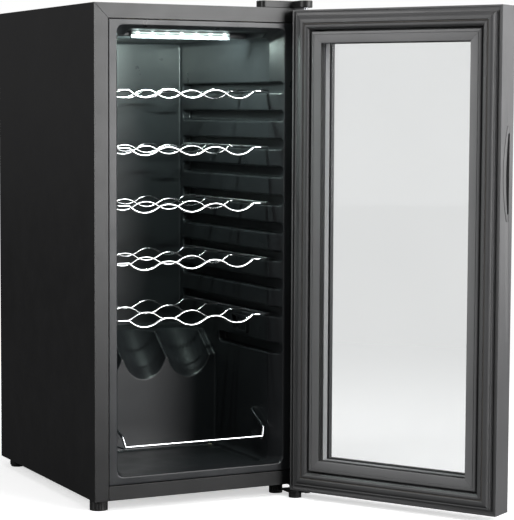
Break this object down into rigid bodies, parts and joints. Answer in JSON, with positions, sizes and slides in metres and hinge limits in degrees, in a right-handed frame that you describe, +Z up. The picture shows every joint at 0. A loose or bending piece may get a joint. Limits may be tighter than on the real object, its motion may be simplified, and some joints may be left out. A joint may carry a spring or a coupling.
{
  "type": "wine cooler",
  "caption": "Freestanding compressor wine cooler with a hinged double-glazed door, wavy wire bottle shelves and a lit interior.",
  "frame": {"origin": "on the floor at the centre of the cabinet footprint", "axes": "+Z up, +Y towards the back of the cabinet, +X to the right seen from the front"},
  "size_m": [0.5216, 0.7504, 0.7524],
  "materials": {
    "black_steel": "black satin powder coat with a very fine texture",
    "flange_steel": "dark satin paint",
    "zinc_steel": "zinc plated",
    "liner_plastic": "formed black ABS, semi-gloss",
    "door_plastic": "dark grey satin",
    "black_plastic": "black satin",
    "gasket_rubber": "soft dark grey vinyl",
    "magnet": "matt",
    "glass": "clear, lightly tinted",
    "spacer_alloy": "satin",
    "chrome_wire": "bright chrome plate",
    "copper": "bare copper tube",
    "foam": "rigid polyurethane foam",
    "lens": "frosted",
    "board": "solder-masked board",
    "white_plastic": "natural nylon",
    "black_enamel": "gloss black enamel",
    "rubber": "matt black"
  },
  "bodies": {
    "cabinet": {"cabinet_wrap": "black_steel", "bottom_cross_rail": "flange_steel", "base_plate": "zinc_steel", "step_panel": "zinc_steel", "back_panel": "black_steel", "insulation_foam": "foam", "inner_liner": "liner_plastic", "light_housing": "liner_plastic", "light_lens": "lens", "light_board": "board", "sensor_cover": "liner_plastic", "temperature_sensor": "copper", "evaporator_plate": "spacer_alloy", "drain_tube": "white_plastic", "condenser_coils": "zinc_steel", "compressor_shell": "black_enamel", "compressor_base": "black_enamel", "compressor_grommets": "rubber", "compressor_bolts": "zinc_steel", "relay_cover": "black_plastic", "evaporation_tray": "black_plastic", "filter_dryer": "copper", "discharge_pipe": "copper", "suction_pipe": "copper", "control_box": "white_plastic", "control_box_lid": "white_plastic", "control_board": "board", "cord_gland": "rubber", "wall_spacers": "black_plastic", "back_panel_screws": "zinc_steel", "rear_feet": "black_plastic", "top_hinge_plate": "zinc_steel", "top_hinge_pin": "zinc_steel", "top_hinge_screws": "zinc_steel", "top_hinge_cover": "black_plastic", "bottom_hinge_bracket": "black_steel", "bottom_hinge_pin": "zinc_steel", "bottom_hinge_screws": "zinc_steel", "hinge_foot": "black_plastic", "bottle_guard": "chrome_wire"},
    "door": {"door_frame": "door_plastic", "handle_insert": "door_plastic", "glazing_bead": "door_plastic", "inner_pane": "glass", "glass_spacer": "spacer_alloy", "outer_pane": "glass", "door_gasket": "gasket_rubber", "gasket_magnets": "magnet", "hinge_bushings": "white_plastic", "door_stop": "black_plastic"},
    "left_foot": {"front_foot_left": "black_plastic"},
    "right_foot": {"front_foot_right": "black_plastic"},
    "shelf_1": {"wire_shelf_1": "chrome_wire"},
    "shelf_2": {"wire_shelf_2": "chrome_wire"},
    "shelf_3": {"wire_shelf_3": "chrome_wire"},
    "shelf_4": {"wire_shelf_4": "chrome_wire"},
    "shelf_5": {"wire_shelf_5": "chrome_wire"}
  },
  "joints": [
    {"name": "door_hinge", "type": "hinge", "parent": "cabinet", "child": "door", "pos_m": [0.1598, -0.228, 0.4], "axis": [0, 0, 1], "range_deg": [-120.5, 7.5]},
    {"name": "shelf_1_slide", "type": "slide", "parent": "cabinet", "child": "shelf_1", "axis": [0, -1, 0], "range_m": [0, 0.2]},
    {"name": "shelf_2_slide", "type": "slide", "parent": "cabinet", "child": "shelf_2", "axis": [0, -1, 0], "range_m": [0, 0.2]},
    {"name": "shelf_3_slide", "type": "slide", "parent": "cabinet", "child": "shelf_3", "axis": [0, -1, 0], "range_m": [0, 0.2]},
    {"name": "shelf_4_slide", "type": "slide", "parent": "cabinet", "child": "shelf_4", "axis": [0, -1, 0], "range_m": [0, 0.2]},
    {"name": "shelf_5_slide", "type": "slide", "parent": "cabinet", "child": "shelf_5", "axis": [0, -1, 0], "range_m": [0, 0.2]},
    {"name": "left_foot_screw", "type": "hinge", "parent": "cabinet", "child": "left_foot", "pos_m": [-0.157, -0.183, 0], "axis": [0, 0, 1], "continuous": true},
    {"name": "right_foot_screw", "type": "hinge", "parent": "cabinet", "child": "right_foot", "pos_m": [0.137, -0.183, 0], "axis": [0, 0, 1], "continuous": true}
  ]
}
